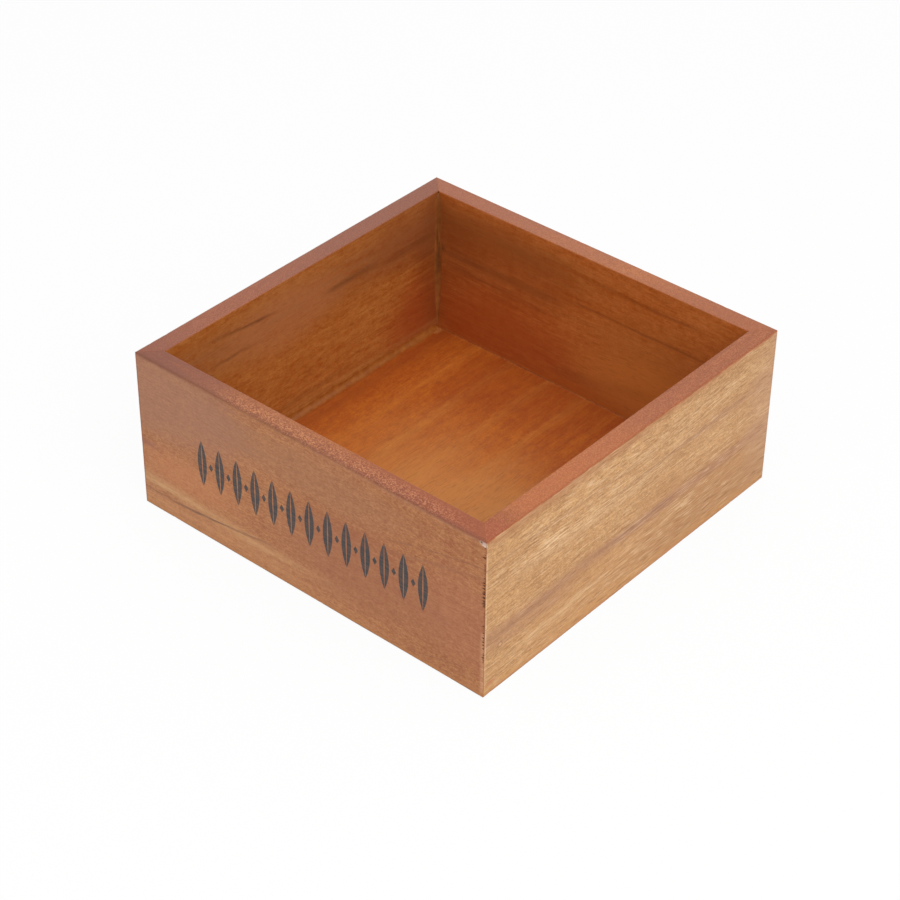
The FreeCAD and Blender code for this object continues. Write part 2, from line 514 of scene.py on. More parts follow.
def srgb(code):
    """A hex colour as linear RGBA."""
    values = [int(code[i:i + 2], 16) / 255 for i in (0, 2, 4)]
    linear = [v / 12.92 if v <= 0.04045 else ((v + 0.055) / 1.055) ** 2.4 for v in values]
    return (*linear, 1.0)


def operation(kind):
    """A method of a field that makes a Math node of this kind."""
    return lambda self, *others: self.graph.math(kind, self, *others)


class Field:
    """A number that varies over the surface. It can be added, multiplied and shaped."""

    def __init__(self, graph, socket):
        self.graph = graph
        self.socket = socket

    __add__ = __radd__ = operation("ADD")
    __mul__ = __rmul__ = operation("MULTIPLY")
    __sub__ = operation("SUBTRACT")
    __truediv__ = operation("DIVIDE")
    __abs__ = operation("ABSOLUTE")
    root = operation("SQRT")
    least = operation("MINIMUM")
    most = operation("MAXIMUM")

    def __rsub__(self, other):
        return self.graph.math("SUBTRACT", other, self)

    def wrapped(self, low, high):
        return self.graph.math("WRAP", self, high, low)

    def step(self, low, high):
        """0 below low and 1 above high, smooth between. With low above high it falls."""
        if low > high:
            return 1 - self.step(high, low)
        node = self.graph.add("MapRange", {"Value": self, "From Min": low, "From Max": high})
        node.interpolation_type = "SMOOTHSTEP"
        return Field(self.graph, node.outputs["Result"])

    def bell(self, centre, width):
        """1 at the centre, fading to 0 at the width on both sides."""
        return abs(self - centre).step(width, 0.0)

    def within(self, low, high, fade):
        """1 between low and high, fading to 0 over twice the fade round each."""
        return self.step(low - fade, low + fade) * self.step(high + fade, high - fade)

    def share(self):
        """Kept between 0 and 1."""
        return self.most(0.0).least(1.0)


class Graph:
    """Short calls that build the node tree of a material or a world."""

    def __init__(self, owner):
        self.owner = owner
        owner.use_nodes = True
        self.tree = owner.node_tree
        self.tree.nodes.clear()

    def put(self, socket, value):
        """Links a field or an output to a socket, or sets a number or a hex colour there."""
        if isinstance(value, Field):
            value = value.socket
        if isinstance(value, bpy.types.NodeSocket):
            self.tree.links.new(value, socket)
        else:
            socket.default_value = srgb(value) if isinstance(value, str) else value

    def add(self, kind, inputs=(), **settings):
        """A new node, named without its ShaderNode, with its inputs by name or number."""
        node = self.tree.nodes.new("ShaderNode" + kind)
        for key, value in settings.items():
            setattr(node, key, value)
        for key, value in dict(inputs).items():
            self.put(node.inputs[key], value)
        return node

    def math(self, kind, *values):
        node = self.add("Math", operation=kind)
        for socket, value in zip(node.inputs, values):
            self.put(socket, value)
        return Field(self, node.outputs[0])

    def mix(self, share, first, second):
        """A colour between two, which are sockets or hex codes."""
        node = self.add("Mix", data_type="RGBA")
        for index, value in ((0, share), (6, first), (7, second)):
            self.put(node.inputs[index], value)
        return node.outputs[2]

    def split(self, vector):
        node = self.add("SeparateXYZ", {"Vector": vector})
        return [Field(self, socket) for socket in node.outputs]

    def join(self, x, y, z):
        return self.add("CombineXYZ", {"X": x, "Y": y, "Z": z}).outputs[0]

    def noise(self, point, cycles, seed, detail=2.0, roughness=0.5):
        """Noise with its own number of cycles a millimetre along each axis."""
        place = self.add("Mapping", {
            "Vector": point, "Scale": cycles, "Location": (seed, seed * 1.7, seed * 0.6)})
        node = self.add("TexNoise", {
            "Vector": place.outputs[0], "Scale": 1.0, "Detail": detail,
            "Roughness": roughness})
        return Field(self, node.outputs[0])

    def board_point(self, turns):
        """The place in a board's own frame, in millimetres."""
        place = self.add("TexCoord").outputs["Object"]
        turned = self.add("Mapping", {
            "Vector": place, "Rotation": (0, 0, -math.radians(90 * turns)),
            "Scale": (1 / MM,) * 3, "Location": (0, HALF_SIDE, 0)})
        return turned.outputs[0]

    def output(self, kind, shader):
        """Ends the tree, and gives the material or the world that it belongs to."""
        self.add(kind, {0: shader})
        return self.owner

    def surface(self, colour, roughness, height, depth, **constants):
        """Joins up a surface. Depth is how deep the relief goes, in millimetres."""
        bump = self.add("Bump", {"Height": height, "Distance": depth * MM, "Strength": 1.0})
        shader = self.add("BsdfPrincipled", {
            "Base Color": colour, "Roughness": roughness, "Normal": bump.outputs[0]})
        for key, value in constants.items():
            shader.inputs[key.replace("_", " ")].default_value = value
        return self.output("OutputMaterial", shader.outputs[0])


GRAIN_SWAY, GRAIN_QUIVER = 6.0, 0.9   # how far the grain wanders, slowly and quickly


def grain(graph, point, seed, length=8.0):
    """Fields of a board's grain, which runs along X. Its pores are about a length long."""
    def layer(place, offset, along, across, detail=2.0, roughness=0.5):
        cycles = (along, across, across)
        return graph.noise(place, cycles, seed + offset, detail, roughness)

    x, y, z = graph.split(point)
    sway = layer(point, 0, 0.011, 0.02, 1.0) - 0.5
    quiver = layer(point, 3, 0.045, 0.08, 1.0) - 0.5
    shift = sway * GRAIN_SWAY + quiver * GRAIN_QUIVER
    bent = graph.join(x, y + shift * 0.5, z + shift)
    return SimpleNamespace(
        x=x, y=y, z=z, bent_z=z + shift,
        cloud=layer(point, 5, 0.016, 0.03),
        figure=layer(bent, 9, 0.005, 0.11, 3.0, 0.55),
        streaks=layer(bent, 13, 0.018, 0.40, 3.0, 0.6),
        fibres=layer(bent, 17, 0.06, 1.2, 3.0, 0.6),
        dashes=layer(bent, 37, 1.3 / length, 2.3, 1.0),
        fine=layer(point, 45, 0.75, 1.5, 2.0, 0.7),
        mottle=layer(point, 33, 0.20, 0.45, 4.0, 0.7),
        stipple=layer(point, 41, 1.9, 1.7, 1.0),
        ripple=layer(bent, 25, 0.30, 0.07))


# The zones of a board, and of the floor.
OUT, IN, RIM, TOP, UNDER = "outer", "inner", "rim", "top", "underside"

# How much each field lightens or darkens the wood in each zone.
GRAIN = {
    OUT: dict(cloud=0.5, figure=0.35, streaks=0.6, fibres=0.7, fine=2.2, mottle=1.0, ripple=0.3),
    IN: dict(cloud=0.6, figure=0.4, streaks=0.5, fibres=0.6, fine=0.9, mottle=1.5, ripple=0.3),
    RIM: dict(cloud=0.3, figure=0.1, streaks=0.15, fibres=0.3, fine=0.8, stipple=0.5, mottle=1.2),
}
# Tones of the open pores, pale with filler or dark, and their strengths outside and inside.
PORES = dict(
    pale="e6c49c", dark="713c10", pale_strength=(0.18, 0.0), dark_strength=(0.25, 0.22))
FAR = 400.0                   # past either end of a board, for a mark without that limit


def fray(base, g, **weights):
    """Adds grain fields to a field or a number, each about its own middle."""
    for name, weight in weights.items():
        base = (getattr(g, name) - 0.5) * weight + base
    return base


def between(graph, g, tones, weights):
    """Colour between a dark and a light tone, by the weighted grain fields."""
    return graph.mix(fray(0.5, g, **weights).share(), *tones)


def over_line(g, start, end):
    """How far above a line that runs from one height at the left end to another at the right."""
    slope = (end - start) / (2 * HALF_SIDE)
    return g.bent_z - g.x * slope - (start + end) / 2


# Each mark below gives its zone, its tone and its mask, which is a strength over the wood.

def line(zone, tone, strength, start, end, half_width, x_from=-FAR, x_to=FAR, fade=10):
    """A streak from height start at the board's left end to height end at its right end."""
    def mask(g):
        off_line = fray(over_line(g, start, end), g, fibres=1.6, mottle=1.6)
        ragged = fray(0.9, g, streaks=2.2, mottle=1.6)
        reach = g.x.within(x_from, x_to, fade)
        return off_line.bell(0.0, half_width) * ragged * reach * strength
    return zone, tone, mask


def cloud(zone, tone, strength, x, z, x_radius, z_radius):
    """A soft patch of another tone."""
    def mask(g):
        across = (g.x - x) / x_radius
        upward = (g.bent_z - z) / z_radius
        away = fray(across * across + upward * upward, g, cloud=1.2, streaks=0.8, fibres=0.6)
        return away.step(1.15, 0.0) * strength
    return zone, tone, mask


def knot(zone, tone, strength, x, z, radius, width):
    """The ring of a pin knot, or its middle when the radius is 0."""
    def mask(g):
        across, upward = g.x - x, g.z - z
        away = (across * across * 0.7 + upward * upward).root()
        return fray(away, g, fibres=0.4).bell(radius, width) * strength
    return zone, tone, mask


def end_arris(zone, tone, strength, end, width, low=-10.0, high=100.0):
    """A line down the upright arris at one end of a board."""
    def mask(g):
        inwards = fray(HALF_SIDE - g.x * end, g, mottle=0.8)
        reach = g.z.within(low, high, 1.5)
        return inwards.step(width, width * 0.4) * reach * strength
    return zone, tone, mask


def patch(zone, tone, strength, x, z, x_radius, z_radius):
    """A small spot with a ragged edge."""
    def mask(g):
        across = (g.x - x) / x_radius
        upward = (g.z - z) / z_radius
        away = fray((across * across + upward * upward).root(), g, stipple=1.2)
        return away.step(1.1, 0.85) * strength
    return zone, tone, mask


def splinter_marks(zone, tone, strength, end, width, low, high):
    """Short dashes of bruised end grain beside an upright arris; dark ones also hold painted shade
    of the torn-out pits.
    """
    def mask(g):
        inwards = HALF_SIDE - g.x * end
        dash = (g.fibres - inwards * 0.05).step(0.48, 0.55)
        return dash * inwards.step(width, width * 0.5) * g.z.within(low, high, 1) * strength
    return zone, tone, mask


def filled_pores(zone, tone, strength, start, end, half_width, x_from=-FAR, x_to=FAR):
    """A band of pores with pale filler, from height start at the left end to end at the right."""
    def mask(g):
        band = over_line(g, start, end).bell(0.0, half_width)
        band = band * g.x.within(x_from, x_to, 20) * strength
        return (g.dashes * 0.7 + g.fibres * 0.3).step(0.50, 0.60) * band
    return zone, tone, mask


def top_arris(zone, tone, strength, depth, x_from=-FAR, x_to=FAR):
    """A band on the face just below the top arris: dark tones are rim stain run over it, pale ones
    worn wood with a painted highlight.
    """
    def mask(g):
        below = fray(HEIGHT - g.z, g, mottle=2.5, fibres=1.5)
        return below.step(depth, depth * 0.15) * g.x.within(x_from, x_to, 8) * strength
    return zone, tone, mask


def marked(graph, g, colour, marks, shares):
    """The colour with every mark laid over it in turn, each in its own zone."""
    for zone, tone, mask in marks:
        colour = graph.mix((mask(g) * shares[zone]).share(), colour, tone)
    return colour


def ornament(g):
    """Printed frieze in the front's middle: tall pointed leaves with small lozenges between."""
    first, last = -58.0, 63.5         # middles of the first and last leaves
    gaps = 12
    pitch = (last - first) / gaps
    half_height, half_width = 11.8, 2.6
    middle = 38.8
    half_lozenge, lozenge_slope = 1.25, 0.62
    soft = 0.12                       # half the ink's blurred edge
    x = g.x - first
    rise = (g.z - middle) / half_height
    in_row = (g.x - (first - 3)).step(0.0, 0.2) * (g.x - (last + 3)).step(0.2, 0.0)
    from_leaf = abs(x.wrapped(-pitch / 2, pitch / 2))
    edge = (1 - rise * rise) * half_width - from_leaf
    rib = from_leaf + abs(rise) * 0.25                # bare line down a leaf's middle
    leaf = edge.step(-soft, soft) * abs(rise).step(1.0, 0.985) * rib.step(0.24, 0.38)
    from_lozenge = abs((x - pitch / 2).wrapped(-pitch / 2, pitch / 2))
    lozenge_edge = half_lozenge - from_lozenge - abs(g.z - middle) * lozenge_slope
    lozenge = lozenge_edge.step(-soft, soft)
    between_ends = (g.x - first).step(0.0, 0.2) * (g.x - last).step(0.2, 0.0)
    return (leaf * in_row).most(lozenge * between_ends)


def pore_marks(graph, g, colour, outside, inside, look):
    """Open pores over a colour, some pale with filler and some dark. Gives the dark ones too."""
    marks = {**PORES, **look.get("pores", {})}
    pale_out, pale_in = marks["pale_strength"]
    dark_out, dark_in = marks["dark_strength"]
    crowded = g.cloud.step(0.42, 0.58) * 0.6 + g.streaks.step(0.42, 0.58) * 0.6
    pale = g.dashes.step(0.56, 0.66) * crowded * (outside * pale_out + inside * pale_in)
    dark = (1 - g.dashes).step(0.57, 0.67) * (outside * dark_out + inside * dark_in)
    colour = graph.mix(pale.least(1.0), colour, marks["pale"])
    return graph.mix(dark, colour, marks["dark"]), dark


INK_TONE = "1c2124"
# Torn end grain: its own darker tone, deepened by painted shade of the pits.
BRUISE_AND_PIT_SHADE_TONE = "683400"
RIM_CUT_TONE, RIM_CREST_TONE = "72361a", "cb8a5e"     # hollows and crests of the sanded rim
# Along a board's outer foot: a warmer band, and painted shade at its very edge.
FOOT_TONE, FOOT_SHADE_TONE = "b8742c", "6e3c1c"
RELIEF = 0.05                 # how deep the wood's relief goes
LACQUER = {"IOR": 1.48, "Coat_Weight": 0.12, "Coat_Roughness": 0.35}


def wood(name, turns, look):
    """Stained and lacquered board. Its tones have a (dark, light) pair for outer, inner and rim."""
    graph = Graph(bpy.data.materials.new(name))
    g = grain(graph, graph.board_point(turns), look["seed"], look.get("pore_length", 8.0))
    y, z = g.y, g.z

    inside = y.step(WALL * 0.55, WALL * 0.65)
    on_rim = (z + g.streaks * 0.2).step(HEIGHT - 0.35, HEIGHT - 0.05)
    off_rim = 1 - on_rim
    shares = {OUT: (1 - inside) * off_rim, IN: inside * off_rim, RIM: on_rim}
    sides = {}
    for zone, pair in look["tones"].items():
        weights = {**GRAIN[zone], **look["grain"].get(zone, {})}
        sides[zone] = between(graph, g, pair, weights)
    colour = graph.mix(on_rim, graph.mix(inside, sides[OUT], sides[IN]), sides[RIM])
    colour = marked(graph, g, colour, look["marks"], shares)
    colour, pores = pore_marks(graph, g, colour, shares[OUT], shares[IN], look)

    speckle = look.get("speckle", 0.18)
    if "speckled_from" in look:
        reach = fray(g.x, g, cloud=30)
        reach = reach.step(look["speckled_from"] - 14, look["speckled_from"] + 14)
        speckle = reach * y.step(9.5, 3.5) * g.x.step(96, 56) * 0.55 + 0.10
    cut = (1 - g.stipple).step(0.50, 0.62) * on_rim * speckle
    crest = g.stipple.step(0.50, 0.62) * on_rim * speckle
    colour = graph.mix(cut, colour, RIM_CUT_TONE)
    colour = graph.mix(crest * 0.9, colour, RIM_CREST_TONE)

    # Torn-out places darken: bruised end grain with painted shade of the pits over it.
    bruise_and_pit_shade = Field(graph, graph.add("Attribute", attribute_name="bruise_and_pit_shade").outputs["Fac"])
    colour = graph.mix(bruise_and_pit_shade.step(0.05, 0.6), colour, BRUISE_AND_PIT_SHADE_TONE)

    edge_tone, edge_strength, edge_width = look["rim_edge"]
    rim_edge = y * 1.5 + abs(z - HEIGHT) * 2
    rim_edge = rim_edge.step(edge_width, 0.3) * (g.streaks * 0.8 + 0.3)
    colour = graph.mix(rim_edge * edge_strength, colour, edge_tone)
    # A warmer band up the outer foot, then a painted shade line along its edge.
    from_foot = fray(y + abs(z), g, mottle=1.5)
    colour = graph.mix(from_foot.step(2.8, 1.0) * 0.7, colour, FOOT_TONE)
    colour = graph.mix(from_foot.step(0.9, 0.5) * 0.7, colour, FOOT_SHADE_TONE)

    roughness = g.fibres * 0.16 + 0.40 + pores * 0.2
    height = g.fibres * 0.5 + g.streaks * 0.3 + g.fine * 0.2 - pores * 0.8 - cut * 0.9
    if look.get("printed"):
        rubbed = (g.fibres * 0.7 + g.dashes * 0.5).step(0.50, 0.68)
        ink = ornament(g) * shares[OUT] * (1 - rubbed * 0.16)
        colour = graph.mix(ink, colour, INK_TONE)
        roughness = roughness + ink * 0.08
    return graph.surface(colour, roughness, height, RELIEF, **LACQUER)


def floor_wood(name, look):
    """The bottom's own thin board, stained as the inside is. Its grain runs front to back."""
    graph = Graph(bpy.data.materials.new(name))
    x, y, z = graph.split(graph.board_point(0))
    g = grain(graph, graph.join(y - HALF_SIDE, z, x), look["seed"])
    colour = between(graph, g, look["tones"], {**GRAIN[IN], **look["grain"]})
    on_top = z.step(FLOOR_LEVEL - 1.5, FLOOR_LEVEL - 0.5)
    shares = {TOP: on_top, UNDER: 1 - on_top}
    colour = marked(graph, g, colour, look["marks"], shares)
    colour, pores = pore_marks(graph, g, colour, shares[UNDER], on_top, look)
    roughness = g.fibres * 0.16 + 0.42 + pores * 0.2
    height = g.fibres * 0.55 + g.streaks * 0.3 - pores * 0.9
    return graph.surface(colour, roughness, height, RELIEF, **LACQUER)


def filler_material(name, dark, light, crease="5a3014"):
    """Wood filler wiped into a joint, which has taken up stain unevenly."""
    graph = Graph(bpy.data.materials.new(name))
    point = graph.board_point(0)
    x, y, z = graph.split(point)
    y = y - HALF_SIDE
    stain = graph.noise(point, (0.3, 0.3, 0.3), 2.0, detail=4.0, roughness=0.65)
    smears = graph.noise(point, (0.9, 0.9, 0.09), 5.0)
    blobs = graph.noise(point, (1.6, 1.6, 1.6), 7.0)
    colour = graph.mix(stain.step(0.3, 0.7), dark, light)
    in_corner = abs(abs(x) - abs(y)).step(2.6, 0.2) * abs(x).step(INNER_HALF + 0.1, INNER_HALF)
    upright = z.step(22, 42) * (z.step(68, 52) * 0.5 + 0.5)
    in_corner = in_corner * smears.step(0.30, 0.60) * upright
    colour = graph.mix(in_corner * 0.7, colour, crease)
    return graph.surface(colour, stain * 0.3 + 0.35, blobs, 0.06, IOR=1.47)


def steel_material():
    """Drawn steel wire, a little dull, with lengthwise drawing marks and a trace of rust."""
    graph = Graph(bpy.data.materials.new("drawn_steel"))
    point = graph.board_point(0)
    marks = graph.noise(point, (5.0, 5.0, 0.6), 3.0)
    rust = graph.noise(point, (0.9, 0.9, 0.9), 8.0, detail=3.0).step(0.58, 0.75)
    colour = graph.mix(marks, "8b8c8d", "b3b4b3")
    colour = graph.mix(rust * 0.5, colour, "7a4a2c")
    return graph.surface(colour, marks * 0.2 + rust * 0.3 + 0.28, marks, 0.02, Metallic=0.9)


# ---- the pieces ----

# Marks lie at places and heights in each board's own frame, whose X runs to the right as the
# board is seen from outside. In the floor's marks X runs to the back, and heights to the right.
FRONT_MARKS = (
    cloud(OUT, "a36e50", 0.6, -78, 62, 62, 26),
    cloud(OUT, "9c6842", 0.35, 0, 64, 60, 14),
    cloud(OUT, "c67a42", 0.5, -66, 26, 40, 13),
    cloud(OUT, "a9603c", 0.4, 84, 34, 22, 26),
    cloud(OUT, "9c5830", 0.55, 28, 28, 56, 24),
    line(OUT, "c8935c", 0.8, 15.5, 9, 5.4, -FAR, -5, 40),
    line(OUT, "c98c54", 0.5, 5, 4, 9, -FAR, 10, 50),
    line(OUT, "6e3c18", 0.85, 7, 31, 1.1, -76, -22, 8),
    line(OUT, "6e3c18", 0.6, 9.5, 12, 0.8, -FAR, -68, 8),
    line(OUT, "7a4426", 0.5, -38, 13.5, 0.7, 62, 86, 8),
    line(OUT, "7a4426", 0.55, 20.5, 64.7, 0.6, 46, FAR),
    line(OUT, "8a5334", 0.4, 15, 59, 1.6, 46, FAR, 14),
    line(OUT, "85502f", 0.35, 40, 50, 0.9, -36, 24, 12),
    line(OUT, "8c4630", 0.6, 34, 34, 3.2, -96, -86, 5),
    cloud(RIM, "7a402a", 1, -97, 78, 66, 60),
    # Pale band below the top arris: worn wood with a painted highlight.
    top_arris(OUT, "c2805c", 0.35, 2.6, 2, 96),
    top_arris(OUT, "8e4e30", 0.5, 1),
    top_arris(OUT, "8a503a", 0.5, 2.2, -96, -74),
    cloud(RIM, "8d421b", 1, 99, 78, 92, 60),
    # Painted shade down the rounded upright arris at the left end.
    end_arris(OUT, "8a4a34", 0.5, -1, 1.6),
    end_arris(OUT, "cc9468", 0.5, 1, 2.6, 2, 33),
    splinter_marks(OUT, "d6a680", 0.45, 1, 2.4, 3, 17),
    # Dark dashes by the near corner: torn grain with painted shade of the splinter pits.
    splinter_marks(OUT, "6c3806", 0.75, 1, 1.3, 62, 75),
    splinter_marks(OUT, "5c2c00", 0.95, 1, 1.9, 46, 61),
    splinter_marks(OUT, "6c3800", 0.9, 1, 1.4, 18, 37),
    patch(OUT, "d4b09a", 0.85, 92.9, 77, 1.6, 1.2),
    patch(OUT, "dcc0b0", 0.85, 94.3, 76.6, 1.1, 1.1),
    patch(OUT, "5a3428", 0.9, 92.5, 77.1, 0.5, 0.45),
    line(IN, "6a3512", 0.55, 60, 56, 1.4, -74, 22),
    line(IN, "6a3512", 0.5, 38, 45, 1.1, -12, 84),
    line(IN, "6e3814", 0.45, 22, 18, 3.2, -50, 30, 12),
    line(IN, "9c6434", 0.45, 66, 68, 9),
    cloud(IN, "9c461a", 0.6, -46, 20, 60, 24),
    cloud(IN, "b87436", 0.5, 50, 30, 50, 26),
)
RIGHT_MARKS = (
    cloud(OUT, "b0783c", 0.7, 52, 18, 66, 30),
    cloud(OUT, "bd8446", 0.5, -25, 12, 62, 17),
    top_arris(OUT, "9c5d24", 0.75, 7, -96, 4),
    # Pale band below the top arris: worn wood with a painted highlight.
    top_arris(OUT, "d0a068", 0.45, 2.8, -96, 0),
    top_arris(OUT, "a86830", 0.75, 3.8, 4, 96),
    top_arris(OUT, "9c4a12", 0.95, 1.2),
    line(OUT, "a26c46", 0.75, 29.5, 29, 6.2),
    line(OUT, "8c5a36", 0.5, 28.6, 30, 1.8, -92, -50, 8),
    line(OUT, "8c5a36", 0.55, 30, 29, 2.2, -30, 26, 8),
    line(OUT, "a87450", 0.55, 23.5, 24, 4.4, -92, -40, 12),
    line(OUT, "ad774a", 0.5, 54, 54.5, 7, 35, FAR, 25),
    line(OUT, "8a5c38", 0.45, 54.2, 54.6, 1.4, -14, 80, 12),
    knot(OUT, "d8aa74", 0.6, -85.3, 21.7, 0, 1.1),
    knot(OUT, "8a5c34", 0.7, -85.3, 21.7, 1.15, 0.5),
    # Pale line down the near arris: worn wood with a painted highlight.
    end_arris(OUT, "e8c49c", 0.5, -1, 1.5, 20, 72),
    end_arris(OUT, "e8c49c", 0.25, -1, 1.5, 4, 20),
    end_arris(OUT, "b4744c", 0.9, -1, 0.75, 0, 75),
    patch(OUT, "d2b09c", 0.6, -94.8, 76.4, 0.6, 1),
    patch(OUT, "bc6a34", 0.5, -91, 5.5, 3.2, 1.5),
    # Painted shade down the rounded upright arris at the far end.
    end_arris(OUT, "b0775c", 0.6, 1, 2.2),
    line(OUT, "9a6c4c", 0.35, 63, 63, 1.2, -FAR, 10, 20),
    cloud(OUT, "b98a64", 0.45, 96, 35, 22, 50),
    cloud(OUT, "ab743a", 0.65, 44, 8, 58, 20),
    line(OUT, "c48a44", 0.5, 3, 2, 4),
    line(OUT, "dcb488", 0.2, 50, 52, 6, -84, 10, 25),
    filled_pores(OUT, "e4c498", 0.42, 55, 51, 6.5, -84, 20),
    filled_pores(OUT, "e4c498", 0.42, 62, 66, 9, 0, 80),
    filled_pores(OUT, "e4c498", 0.18, 14, 12, 13, -84, 90),
    line(IN, "6a3512", 0.55, 52, 58, 1.3, -60, 40),
    line(IN, "6a3512", 0.45, 30, 24, 1, -88, -6),
    line(IN, "6e3814", 0.5, 64, 61, 2.8, 10, 84, 12),
    cloud(IN, "a04a1c", 0.6, 40, 20, 60, 24),
    cloud(IN, "9a6434", 0.5, -40, 62, 70, 16),
    line(OUT, "d8ae7c", 0.4, 14, 13, 4, -74, -24, 15),
    cloud(RIM, "a85b27", 1, -40, 78, 50, 60),
    cloud(RIM, "924b1c", 1, -97, 78, 26, 60),
    cloud(RIM, "96411b", 0.6, -92, 78, 12, 60),
)
BACK_MARKS = (
    cloud(IN, "a44a18", 0.75, 50, 20, 60, 26),
    cloud(IN, "9a4416", 0.6, -14, 5, 46, 14),
    line(IN, "b4601f", 1.1, 6, 6, 8, -FAR, 22, 24),
    line(IN, "8a5422", 0.5, 62, 66, 13, 0, FAR, 30),
    cloud(IN, "b06a2e", 0.5, -44, 26, 62, 34),
    cloud(IN, "cc7c34", 0.6, -34, 22, 44, 20),
    cloud(IN, "8a4418", 0.5, 50, 54, 52, 24),
    # Painted shade in the back left corner.
    cloud(IN, "64300f", 0.3, 94, 48, 40, 34),
    line(IN, "6a3512", 0.45, 66, 67.5, 1.6, -60, 12, 12),
    line(IN, "6a3512", 0.45, 52, 51.5, 1.2, -66, 6),
    line(IN, "6e3814", 0.45, 50, 47, 3.5, 18, 76),
    line(IN, "6a3512", 0.45, 41, 41, 1, 44, 76, 8),
    line(IN, "6a3010", 0.2, 28, 2, 5, -38, 14),
    line(IN, "4e2c12", 0.7, 49, 49, 3, 82, FAR, 2),
    cloud(RIM, "9a583a", 1, 97, 78, 110, 60),
    cloud(RIM, "9a542e", 1, -97, 78, 66, 60),
    cloud(OUT, "a6683c", 0.6, -58, 20, 62, 24),
    cloud(OUT, "96583a", 0.5, 44, 62, 72, 22),
    cloud(OUT, "a45c34", 0.5, 60, 22, 44, 26),
    line(OUT, "cc9454", 0.75, 60, 67, 4.4, -FAR, 34, 40),
    line(OUT, "c88e52", 0.5, 33, 25, 3.4, -92, 16, 20),
    line(OUT, "6e3c18", 0.75, 53, 40, 1.1, -72, 62),
    line(OUT, "6e3c18", 0.6, 46, 33, 0.8, -40, 88),
    line(OUT, "6e3c18", 0.5, 70, 71, 0.8, 10, 80),
    line(OUT, "8a5334", 0.5, 18, 24, 2.6),
    line(OUT, "7a4426", 0.55, 9, 13, 0.9, -20, 80),
    knot(OUT, "c08a58", 0.6, 31.5, 24.5, 0, 1.4),
    knot(OUT, "6e4020", 0.8, 31.5, 24.5, 1.5, 0.6),
)
LEFT_MARKS = (
    line(IN, "905d3a", 0.5, 62, 60, 19),
    cloud(IN, "b87a50", 0.35, 16, 58, 44, 20),
    cloud(IN, "963a11", 0.7, -82, 18, 40, 30),
    # Painted shade in the back left corner.
    cloud(IN, "6e3814", 0.5, -92, 45, 24, 60),
    cloud(IN, "844522", 0.5, -88, 66, 66, 24),
    line(IN, "5e3010", 0.55, 51, 72, 1.4, 22, 58, 8),
    line(IN, "5e3010", 0.45, 57, 61, 3, -42, -12, 6),
    line(IN, "5e3010", 0.45, 57.5, 54, 2.6, -84, -50, 8),
    line(IN, "5e3010", 0.5, 48, 48, 1.4, -FAR, -74, 6),
    line(IN, "6a3a16", 0.45, 54, 55, 1, 34, 62, 8),
    line(IN, "6a3512", 0.3, 13, 11, 2.4, -24, 60, 16),
    # Painted highlight along the foot of the wall.
    line(IN, "b07840", 0.35, 7, 8, 3),
    cloud(RIM, "834934", 1, -66, 78, 90, 60),
    cloud(RIM, "844730", 1, 97, 78, 34, 60),
    cloud(OUT, "ab743c", 0.6, -48, 18, 66, 24),
    cloud(OUT, "c8986a", 0.45, 42, 60, 60, 20),
    cloud(OUT, "a67450", 0.5, 70, 20, 40, 24),
    line(OUT, "a06c46", 0.75, 46, 40, 6.5),
    line(OUT, "865432", 0.6, 45, 40, 1.7, -82, 30),
    line(OUT, "865432", 0.55, 23, 31, 1.2, -30, 90),
    line(OUT, "7c4c2c", 0.5, 65, 62, 0.9, -60, 26),
    line(OUT, "ad774a", 0.5, 68, 63, 4.5),
    line(OUT, "7c4c2c", 0.5, 9, 12, 0.9, -90, -6),
    filled_pores(OUT, "dcb88e", 0.4, 56, 52, 6, -60, 60),
    filled_pores(OUT, "dcb88e", 0.35, 16, 20, 6, -20, 84),
)
FLOOR_MARKS = (
    # Paler middle towards the front: a painted pool of light.
    cloud(TOP, "d28c44", 0.3, -34, 14, 88, 100),
    cloud(TOP, "d29048", 0.45, -16, 20, 52, 58),
    # Painted shade along the foot of the left wall.
    line(TOP, "84380a", 0.5, -84, -83.5, 2, -FAR, 45, 12),
    # Painted highlight in the back left corner.
    patch(TOP, "cc9050", 0.7, 83, -83.5, 2.8, 1.8),
    line(TOP, "c47a2c", 0.2, -59, -59, 7),
    line(TOP, "c88438", 0.35, -39, -39, 4.5),
    line(TOP, "c47e34", 0.3, -17, -17, 4.5),
    line(TOP, "c47e34", 0.3, 3, 3, 4.5),
    # Painted shade along the left wall.
    line(TOP, "8c3c0a", 0.5, -79, -79, 8),
    # Painted shade along the back wall.
    cloud(TOP, "8e3c08", 0.45, 84, 0, 46, 120),
    cloud(UNDER, "b07238", 0.7, -200, 0, 500, 400),
    cloud(UNDER, "9a5a2a", 0.6, 30, -50, 110, 30),
    line(UNDER, "c88a4c", 0.6, 34, 22, 7),
    line(UNDER, "6e3c18", 0.6, 46, 30, 1.2, -80, 60, 12),
    line(UNDER, "6e3c18", 0.5, -12, -26, 1, -60, 90, 12),
    line(UNDER, "84502a", 0.5, -60, -52, 4),
    line(UNDER, "6e3c18", 0.5, 70, 74, 0.9, -FAR, 20, 12),
)

